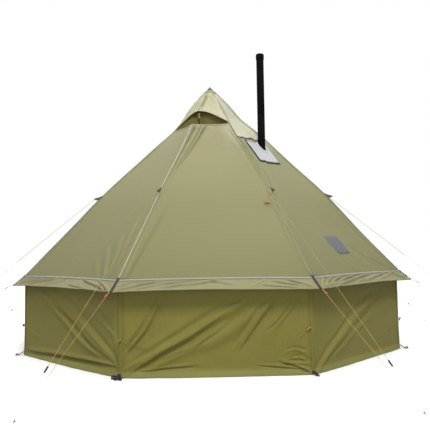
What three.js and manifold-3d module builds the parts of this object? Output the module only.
// Octagonal single-pole teepee tent with low walls, an eave skirt, two propped vent hoods,
// a stove jack with its flue pipe, and eight two-leg guy lines.
// Units are millimetres, +Z is up, the origin is on the ground under the centre pole.
// The front faces -Y, the door faces +Y.
import * as THREE from 'three';
import { mergeVertices } from 'three/addons/utils/BufferGeometryUtils.js';
import Module from 'manifold-3d';

// ---- driving dimensions ----
const SIDES = 8;
const R_WALL = 2000;      // corner radius of the wall, outside
const WALL_TOP = 795;     // the wall's sewn top edge, under the roof
const APEX_Z = 2912;      // where the eight roof planes meet
const R_EAVE = 2025;      // corner radius where roof meets skirt
const Z_EAVE = 776;
const R_HEM = 2134;       // corner radius of the skirt's free hem
const Z_HEM = 686;
const T = 3;              // thickness that stands for a fabric layer
const SEAM = 3;           // half of the gap left at a ridge seam
const DOOR_HALF_BOTTOM = 550;
const DOOR_HALF_TOP = 310;
const DOOR_TOP_Z = 1750;
const VENT_Z = 2363;      // height of the roof's cut edge under each vent hood
const HOOD_REACH = 343;   // horizontal reach of the hood's hem plane from the pole axis
const POLE_R = 15;
const PIPE = { x: 545, y: -450, r: 40, wall: 1.5, z0: 450, z1: 3124 };
const PEG_R = 3170;       // distance of each guy peg from the pole axis
const TAB_R = 1270;       // distance of the mid-ridge guy tabs

const DEG = Math.PI / 180;
const C = Math.cos(22.5 * DEG);
const TAN = Math.tan(22.5 * DEG);
const A_EAVE = R_EAVE * C;
const A_HEM = R_HEM * C;
const K = (APEX_Z - Z_EAVE) / A_EAVE;            // roof fall per mm of apothem
const KS = (Z_EAVE - Z_HEM) / (A_HEM - A_EAVE);  // the skirt is a little flatter
const SKIRT_APEX = Z_EAVE + KS * A_EAVE;
const aAt = (z) => (APEX_Z - z) / K;
const ridgeZ = (r) => APEX_Z - K * C * r;

const wasm = await Module();
wasm.setup();
const group = new THREE.Group();
group.name = 'teepee_tent';

function toM(geo) {
  const src = geo.index ? geo.toNonIndexed() : geo;
  const g = new THREE.BufferGeometry().setAttribute('position', src.getAttribute('position').clone());
  const m = mergeVertices(g, 1e-4);
  return new wasm.Manifold(new wasm.Mesh({
    numProp: 3,
    vertProperties: new Float32Array(m.attributes.position.array),
    triVerts: new Uint32Array(m.index.array),
  }));
}
function toGeo(man) {
  const m = man.getMesh();
  const n = m.numProp;
  const v = new Float32Array(m.numVert * 3);
  for (let i = 0; i < m.numVert; i++) v.set(m.vertProperties.subarray(i * n, i * n + 3), i * 3);
  const g = new THREE.BufferGeometry();
  g.setAttribute('position', new THREE.BufferAttribute(v, 3));
  g.setIndex(new THREE.BufferAttribute(new Uint32Array(m.triVerts), 1));
  g.computeVertexNormals();
  return g;
}
function add(name, solid, color, roughness = 0.9, metalness = 0) {
  const geo = solid.isBufferGeometry ? solid : toGeo(solid);
  const mesh = new THREE.Mesh(geo, new THREE.MeshStandardMaterial({ color, roughness, metalness }));
  mesh.name = name;
  group.add(mesh);
  return mesh;
}
// a vertical prism over a plan polygon
function prism(points, z0, z1) {
  const s = new THREE.Shape(points.map(([x, y]) => new THREE.Vector2(x, y)));
  const g = new THREE.ExtrudeGeometry(s, { depth: z1 - z0, bevelEnabled: false, steps: 1 });
  g.translate(0, 0, z0);
  return toM(g);
}
// local (outward, sideways) at an azimuth to plan x, y
const at = (phi, out, side) => [
  out * Math.cos(phi * DEG) - side * Math.sin(phi * DEG),
  out * Math.sin(phi * DEG) + side * Math.cos(phi * DEG),
];
const poly = (phi, pts) => pts.map(([o, s]) => at(phi, o, s));
// an eight-sided pyramid whose faces lie at azimuths 0, 45, 90 ...
function pyramid(apexZ, slope, baseZ) {
  const h = apexZ - baseZ;
  const g = new THREE.ConeGeometry(h / slope / C, h, SIDES, 1, false, Math.PI / SIDES);
  g.rotateX(Math.PI / 2);
  g.translate(0, 0, baseZ + h / 2);
  return toM(g);
}
const roofCos = 1 / Math.hypot(1, K);
const skirtCos = 1 / Math.hypot(1, KS);
const roofShell = (t0, t1) => pyramid(APEX_Z + t1 / roofCos, K, 500).subtract(pyramid(APEX_Z + t0 / roofCos, K, 490));
const skirtShell = (t0, t1) => pyramid(SKIRT_APEX + t1 / skirtCos, KS, 500).subtract(pyramid(SKIRT_APEX + t0 / skirtCos, KS, 490));
function octPrism(apothem, z0, z1) {
  const pts = [];
  for (let i = 0; i < SIDES; i++) {
    const a = (22.5 + 45 * i) * DEG;
    pts.push([(apothem / C) * Math.cos(a), (apothem / C) * Math.sin(a)]);
  }
  return prism(pts, z0, z1);
}
const octRing = (a0, a1, z0, z1) => octPrism(a1, z0, z1).subtract(octPrism(a0, z0 - 1, z1 + 1));
const doorCut = (half) => prism([[-half, 1000], [half, 1000], [half, 2500], [-half, 2500]], -10, 1200);
const wedge = (phi, a0, a1, gap) => poly(phi, [
  [a0, -(a0 * TAN - gap)], [a1, -(a1 * TAN - gap)], [a1, a1 * TAN - gap], [a0, a0 * TAN - gap],
]);
function bar(p, q, r, seg = 6) {
  const a = new THREE.Vector3(...p), b = new THREE.Vector3(...q);
  const d = b.clone().sub(a), len = d.length();
  const g = new THREE.CylinderGeometry(r, r, len, seg);
  g.applyQuaternion(new THREE.Quaternion().setFromUnitVectors(new THREE.Vector3(0, 1, 0), d.normalize()));
  g.translate((p[0] + q[0]) / 2, (p[1] + q[1]) / 2, (p[2] + q[2]) / 2);
  return toM(g);
}
function cyl(r, z0, z1, seg = 24, x = 0, y = 0) {
  const g = new THREE.CylinderGeometry(r, r, z1 - z0, seg);
  g.rotateX(Math.PI / 2);
  g.translate(x, y, (z0 + z1) / 2);
  return toM(g);
}
// profile points are [radius, z]; the profile runs anticlockwise seen with radius to the right
function lathe(points, seg = 24, x = 0, y = 0) {
  const g = new THREE.LatheGeometry(points.map(([r, z]) => new THREE.Vector2(r, z)), seg);
  g.rotateX(Math.PI / 2);
  g.translate(x, y, 0);
  return toM(g);
}

// ---- colours ----
const ROOF = 0x9c9a70, WALL = 0x6d6a3a, BAND = 0x7a7743, TAPE = 0x9c9a84, SEAMTAPE = 0xa9ab80;
const BLACK = 0x1c1c1b, PATCH = 0xb9bdb8, STEEL = 0x8f9294, CORD = 0xb98a52, MESH = 0x2f2e22;

// ---- roof gores ----
const FACES = {
  right: 0, rear_right: 45, rear: 90, rear_left: 135,
  left: 180, front_left: 225, front: 270, front_right: 315,
};
const VENTED = new Set([45, 90, 225, 270]);
const A_VENT = aAt(VENT_Z);
const roof = roofShell(0, T);
const doorHalfAt = (a) => DOOR_HALF_TOP + ((a - aAt(DOOR_TOP_Z)) / (A_EAVE - aAt(DOOR_TOP_Z))) * (DOOR_HALF_BOTTOM - DOOR_HALF_TOP);
const A_DOOR_TOP = aAt(DOOR_TOP_Z);
const JACK = [[631, -132], [866, -156], [855, 194], [607, 232]];          // out, side on the front right face
const JACK_HOLE = [[655, -108], [842, -128], [832, 168], [633, 204]];
for (const [name, phi] of Object.entries(FACES)) {
  const a0 = VENTED.has(phi) ? A_VENT : 45;
  let g = prism(wedge(phi, a0, A_EAVE - 1, SEAM), 600, 3000).intersect(roof);
  if (name === 'front_right') g = g.subtract(prism(poly(phi, JACK_HOLE), 600, 3000));
  if (name === 'rear') {
    g = g.subtract(prism(poly(phi, [
      [A_DOOR_TOP, -DOOR_HALF_TOP], [2100, -doorHalfAt(2100)], [2100, doorHalfAt(2100)], [A_DOOR_TOP, DOOR_HALF_TOP],
    ]), 600, 3000));
  }
  add('roof_gore_' + name, g, ROOF);
}

// ---- wall, hem band, skirt, tapes ----
const A_WALL = R_WALL * C;
add('wall_curtain', octRing(A_WALL - T, A_WALL, 0, WALL_TOP).subtract(doorCut(DOOR_HALF_BOTTOM + 3)), WALL);

let band = octRing(A_WALL + 0.7, A_WALL + 3.5, 0, 45);
for (let i = 0; i < SIDES; i++) band = band.add(prism(poly(22.5 + 45 * i, [[2003, -12], [2062, -12], [2062, 12], [2003, 12]]), 1, 5));
add('wall_hem_band', band.subtract(doorCut(DOOR_HALF_BOTTOM + 8)), BAND);

add('eave_skirt', skirtShell(0, 2.5).intersect(octRing(A_EAVE + 1.5, A_HEM, 600, 900)).subtract(doorCut(DOOR_HALF_BOTTOM + 12)), ROOF);

const overRoof = roofShell(T + 0.6, T + 2.4);
const overSkirt = skirtShell(T + 0.3, T + 2.8);
let eaveWeb = overRoof.intersect(octRing(A_EAVE - 25, A_EAVE - 1, 600, 900)).subtract(doorCut(DOOR_HALF_BOTTOM + 12));
for (let i = 0; i < SIDES; i++) {
  const phi = 22.5 + 45 * i;
  eaveWeb = eaveWeb
    .add(prism(poly(phi, [[2004, -11], [2028, -11], [2028, 11], [2004, 11]]), 600, 900).intersect(overRoof))
    .add(prism(poly(phi, [[2026, -11], [2140, -11], [2140, 11], [2026, 11]]), 600, 900).intersect(overSkirt));
}
add('eave_webbing', eaveWeb, TAPE);

// ridge seam tapes, the sill bindings under the vents and the mid-ridge guy tabs
let ridgeWeb = overRoof.intersect(octRing(50, 68, 2700, 3000));
const HOOD_AZ = { front: 247.5, rear: 67.5 };
for (let i = 0; i < SIDES; i++) {
  const phi = 22.5 + 45 * i;
  const r0 = phi === 247.5 || phi === 67.5 ? 530 : 60;
  ridgeWeb = ridgeWeb.add(prism(poly(phi, [[r0, -12], [1988, -12], [1988, 12], [r0, 12]]), 600, 3000).intersect(overRoof));
}
for (const phi of VENTED) ridgeWeb = ridgeWeb.add(prism(wedge(phi, A_VENT + 3, A_VENT + 20, -2), 2000, 2600).intersect(overRoof));
for (let i = 0; i < SIDES; i++) {
  const phi = 22.5 + 45 * i;
  const s = new THREE.Shape([
    new THREE.Vector2(TAB_R - 55, ridgeZ(TAB_R - 55) + 7), new THREE.Vector2(TAB_R + 45, ridgeZ(TAB_R + 45) + 7),
    new THREE.Vector2(TAB_R + 62, ridgeZ(TAB_R + 45) + 34), new THREE.Vector2(TAB_R + 40, ridgeZ(TAB_R + 45) + 50),
  ]);
  const g = new THREE.ExtrudeGeometry(s, { depth: 5, bevelEnabled: false });
  g.translate(0, 0, -2.5);
  g.rotateX(Math.PI / 2);            // the profile's y becomes z
  g.rotateZ(phi * DEG);
  ridgeWeb = ridgeWeb.add(toM(g));
}
add('ridge_webbing', ridgeWeb, SEAMTAPE);

// ---- door ----
const A_DU0 = A_DOOR_TOP + 3, A_DU1 = A_EAVE - 9;
add('door_upper', prism(poly(90, [
  [A_DU0, -(doorHalfAt(A_DU0) - 3)], [A_DU1, -(doorHalfAt(A_DU1) - 3)], [A_DU1, doorHalfAt(A_DU1) - 3], [A_DU0, doorHalfAt(A_DU0) - 3],
]), 600, 3000).intersect(roof), ROOF);
add('door_lower', prism([[-547, A_WALL - T], [547, A_WALL - T], [547, A_WALL], [-547, A_WALL]], 12, 768), WALL);
for (const [name, s] of [['left', 1], ['right', -1]]) {
  // seen from outside the door, left is +X
  const jamb = (a) => -s * (doorHalfAt(a));
  const a1 = A_EAVE - 60, a0 = a1 - 26;
  const slider = prism(poly(90, [
    [a0, jamb(a0) - s * 4], [a1, jamb(a1) - s * 4], [a1, jamb(a1) - s * 18], [a0, jamb(a0) - s * 18],
  ]), 600, 3000).intersect(roofShell(T + 0.6, T + 9));
  add('zip_slider_' + name, slider, BLACK, 0.5);
}

// ---- vents ----
for (const [name, phi] of Object.entries(HOOD_AZ)) {
  const H = HOOD_REACH;
  add('vent_hood_' + name, prism(poly(phi, [
    [57.6, -49.1], [H, -(H - 8.5)], [H, H - 8.5], [57.6, 49.1], [77.9, 0],
  ]), 2000, 3000).intersect(roof), ROOF);
  // sill gusset and the insect mesh that stands on it
  const sill = prism(poly(phi, [[288, -280], [372.8, -364.8], [523.9, 0], [372.8, 364.8], [288, 280]]), 2347, 2353);
  const tri = new THREE.Shape([
    new THREE.Vector2(-275, 2348), new THREE.Vector2(275, 2348), new THREE.Vector2(275, 2392),
    new THREE.Vector2(0, 2522), new THREE.Vector2(-275, 2392),
  ]);
  const g = new THREE.ExtrudeGeometry(tri, { depth: 3, bevelEnabled: false });
  g.rotateX(Math.PI / 2);            // x stays sideways, the profile's y becomes z, depth runs to -Y
  g.rotateZ(90 * DEG);               // sideways becomes y, depth becomes +x
  g.translate(288, 0, 0);
  g.rotateZ(phi * DEG);
  add('vent_mesh_' + name, sill.add(toM(g)), MESH, 0.95);
  const [px, py] = at(phi, 330, 0);
  add('vent_prop_' + name, lathe([[0, 2359], [9, 2359], [9, 2364], [5, 2366], [5, 2530], [0, 2534]], 16, px, py), BLACK, 0.6);
}

// ---- centre pole ----
add('apex_cap', lathe([[0, 2890], [13.5, 2890], [13.5, 2846], [42, 2846], [42, 2868], [5, 2914], [0, 2916]], 24), BLACK, 0.6);
const tube = (ro, ri, z0, z1) => cyl(ro, z0, z1).subtract(cyl(ri, z0 - 1, z1 + 1));
const pin = (z) => bar([8.8, 0, z], [17.6, 0, z], 4, 16);
const pinHole = (z) => bar([5, 0, z], [20, 0, z], 4.5, 16);
add('pole_lower', tube(POLE_R, 13, 20.6, 985).subtract(pinHole(945)), STEEL, 0.4, 0.8);
add('pole_middle', tube(POLE_R, 12.7, 985.6, 1950).add(tube(12.7, 11, 900, 990))
  .add(cyl(13.5, 985.6, 995).subtract(cyl(11, 980, 996))).subtract(pinHole(945)).subtract(pinHole(1910)), STEEL, 0.4, 0.8);
add('pole_upper', tube(POLE_R, 12.7, 1950.6, 2845).add(tube(12.4, 11, 1865, 1955))
  .add(cyl(13.5, 1950.6, 1960).subtract(cyl(11, 1945, 1961)))
  .add(cyl(13, 2835, 2845)).add(cyl(12.5, 2840, 2884)).subtract(pinHole(1910)), STEEL, 0.4, 0.8);
add('pole_button_lower', pin(945), STEEL, 0.3, 0.9);
add('pole_button_upper', pin(1910), STEEL, 0.3, 0.9);
add('pole_foot', lathe([[0, 0], [21, 0], [21, 4], [18.5, 42], [15.4, 42], [15.4, 20], [0, 20]], 24), BLACK, 0.9);

// ---- stove jack and flue ----
add('stove_jack_patch', prism(poly(315, JACK), 600, 3000).intersect(overRoof)
  .subtract(cyl(47, 1000, 2900, 32, PIPE.x, PIPE.y)), PATCH, 0.6);
add('stove_jack_flap', prism(poly(315, [[598, -222], [590, 150], [395, 110], [395, -140]]), 600, 3000)
  .intersect(roofShell(T + 3.4, T + 5.8)), 0xcfccb7);
add('flue_pipe', cyl(PIPE.r, PIPE.z0, PIPE.z1, 32, PIPE.x, PIPE.y)
  .subtract(cyl(PIPE.r - PIPE.wall, PIPE.z0 - 1, PIPE.z1 + 1, 32, PIPE.x, PIPE.y)), BLACK, 0.5, 0.6);
add('flue_cap', lathe([[0, PIPE.z1 + 1], [41, PIPE.z1 + 1], [41, PIPE.z1 - 45], [44, PIPE.z1 - 45], [44, PIPE.z1 + 6], [36, PIPE.z1 + 14], [0, PIPE.z1 + 16]], 32, PIPE.x, PIPE.y), BLACK, 0.5, 0.6);

// ---- guy lines ----
const CORNERS = {
  right_rear: 22.5, rear_right: 67.5, rear_left: 112.5, left_rear: 157.5,
  left_front: 202.5, front_left: 247.5, front_right: 292.5, right_front: 337.5,
};
for (const [name, phi] of Object.entries(CORNERS)) {
  const P = (r, z) => [...at(phi, r, 0), z];
  const end = P(PEG_R - 12, 24);
  const low = P(PEG_R - 12, 9);
  const tab = P(TAB_R + 66, ridgeZ(TAB_R + 45) + 36);
  const strap = P(2150, 690);
  add('guy_cord_' + name, bar(tab, end, 2).add(bar(strap, low, 2)).add(cyl(4, 5, 28, 8, end[0], end[1])), CORD);
  // the runner rides on the upper leg, 0.35 m from the peg
  const u = new THREE.Vector3(...tab).sub(new THREE.Vector3(...end)).normalize();
  const c0 = new THREE.Vector3(...end).addScaledVector(u, 330), c1 = new THREE.Vector3(...end).addScaledVector(u, 375);
  const o0 = new THREE.Vector3(...end).addScaledVector(u, 320), o1 = new THREE.Vector3(...end).addScaledVector(u, 385);
  add('guy_runner_' + name, bar(c0.toArray(), c1.toArray(), 7, 12).subtract(bar(o0.toArray(), o1.toArray(), 2.8, 12)), BLACK, 0.5);
  // both legs end on one loop; the peg leans away from the tent and its head holds the loop
  const peg = bar(P(PEG_R + 3, 12), P(PEG_R - 57, -150), 3, 8).add(bar(P(PEG_R + 4.5, 16), P(PEG_R + 1, 6), 5, 8));
  add('guy_peg_' + name, peg, STEEL, 0.35, 0.9);
}

export default group;
